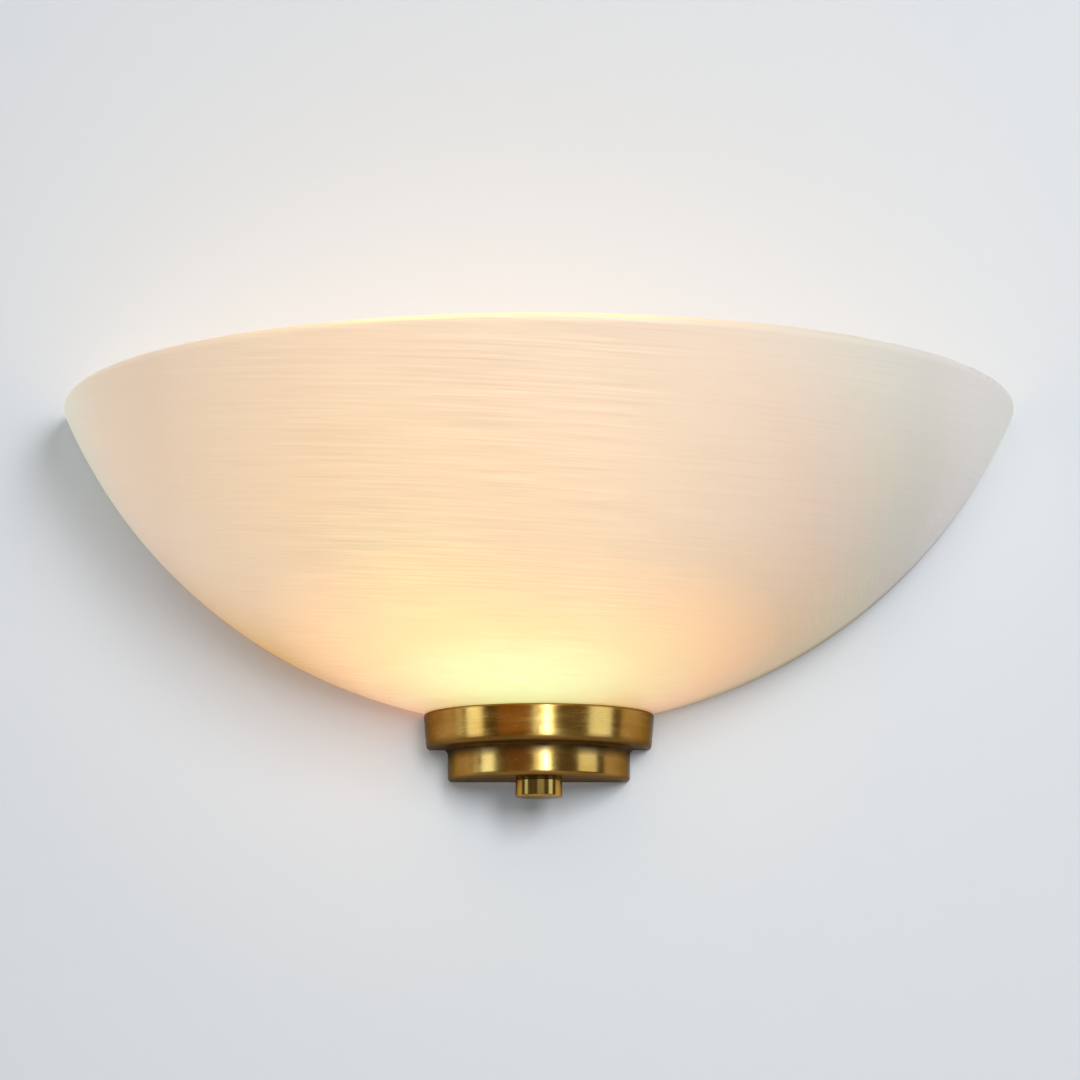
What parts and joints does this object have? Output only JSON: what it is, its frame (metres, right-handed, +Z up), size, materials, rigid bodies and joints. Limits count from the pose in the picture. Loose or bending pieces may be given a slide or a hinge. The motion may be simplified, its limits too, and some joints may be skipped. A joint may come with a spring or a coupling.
{
  "type": "wall uplighter",
  "caption": "Half-bowl brushed glass wall uplighter on a stepped brass cup with a finial nut, lit by a push-in capsule lamp.",
  "frame": {"origin": "midway between the two wall slots, on the wall's surface at the back face of the wall plate", "axes": "+X along the wall to the viewer's right, +Y into the wall (the light faces -Y, into the room), +Z up"},
  "size_m": [0.33, 0.165, 0.1362],
  "materials": {
    "shade_glass": "hand-brushed satin opal glass, warm where the lamp lights it",
    "antique_brass": "antique brass, brushed round the cup and lacquered",
    "turned_brass": "turned antique brass, a little brighter than the cup",
    "felt": "grey wool felt",
    "zinc_steel": "bright zinc-plated steel",
    "white_enamel": "white powder-coated steel",
    "black_rubber": "matt black moulded rubber",
    "clear_silicone": "translucent silicone",
    "steatite": "opaque unglazed steatite ceramic",
    "spring_bronze": "bright spring bronze and terminal brass",
    "lamp_glass": "clear quartz glass",
    "lamp_wire": "drawn tungsten and nickel wire",
    "white_nylon": "natural white moulded nylon",
    "earth_brass": "bright yellow brass",
    "brown_silicone": "brown silicone insulation",
    "blue_silicone": "blue silicone insulation",
    "green_silicone": "green and yellow silicone insulation"
  },
  "bodies": {
    "root": {"glass_shade": "shade_glass", "gallery_cup": "antique_brass", "cup_felt": "felt", "threaded_rod": "zinc_steel", "rod_nut_top": "zinc_steel", "rod_nut_bottom": "zinc_steel", "lock_washer": "zinc_steel", "clamp_disc": "zinc_steel", "glass_pad": "black_rubber", "glass_bush": "clear_silicone", "wall_plate": "white_enamel", "support_arm": "white_enamel", "arm_rivets": "zinc_steel", "cable_grommet": "black_rubber", "lamp_bracket": "zinc_steel", "lampholder_body": "steatite", "lampholder_clips": "spring_bronze", "lampholder_screws": "zinc_steel", "lampholder_nuts": "zinc_steel", "terminal_block": "white_nylon", "terminal_barrels": "spring_bronze", "terminal_screws": "zinc_steel", "block_screws": "zinc_steel", "earth_screw": "earth_brass", "earth_tag": "earth_brass", "live_lead": "brown_silicone", "neutral_lead": "blue_silicone", "earth_lead": "green_silicone"},
    "lamp": {"lamp_envelope": "lamp_glass", "lamp_pins": "lamp_wire", "lamp_filament": "lamp_wire"},
    "finial_slider": {"finial_washer": "turned_brass"},
    "finial_turner": {"finial_nut": "turned_brass"}
  },
  "joints": [
    {"name": "lamp_pull", "type": "slide", "parent": "root", "child": "lamp", "axis": [0, 0, 1], "range_m": [0, 0.009]},
    {"name": "finial_drop", "type": "slide", "parent": "root", "child": "finial_slider", "axis": [0, 0, -1], "range_m": [0, 0.0045]},
    {"name": "finial_turn", "type": "hinge", "parent": "finial_slider", "child": "finial_turner", "pos_m": [0, -0.0196, -0.091], "axis": [0, 0, -1], "range_deg": [0, 1620]}
  ],
  "couplings": [
    {"joint": "finial_drop", "follows": "finial_turn", "m_per_rad": 0.00015915}
  ]
}
